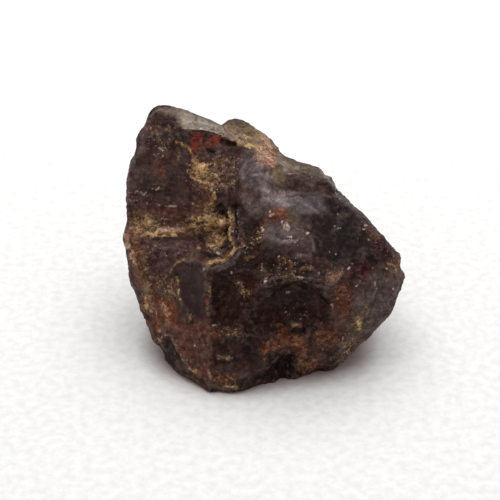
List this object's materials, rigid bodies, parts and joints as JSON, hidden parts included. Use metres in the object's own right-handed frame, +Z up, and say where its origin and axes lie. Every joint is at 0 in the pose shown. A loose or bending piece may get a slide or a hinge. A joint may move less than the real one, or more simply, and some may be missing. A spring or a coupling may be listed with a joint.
{
  "type": "garnet crystal",
  "caption": "Rough, broken dark red garnet crystal with a stepped left face, a notched ridge and a flat break to rest on.",
  "frame": {"origin": "middle of the bounding box, on the flat break that the stone rests on", "axes": "+X along the stone's longest way, +Y towards its back, +Z up, square to the resting break"},
  "size_m": [0.0224, 0.0188, 0.0179],
  "materials": {
    "garnet": "glassy dark red-brown with golden brown crust"
  },
  "bodies": {
    "root": {"garnet_crystal": "garnet"}
  },
  "joints": []
}
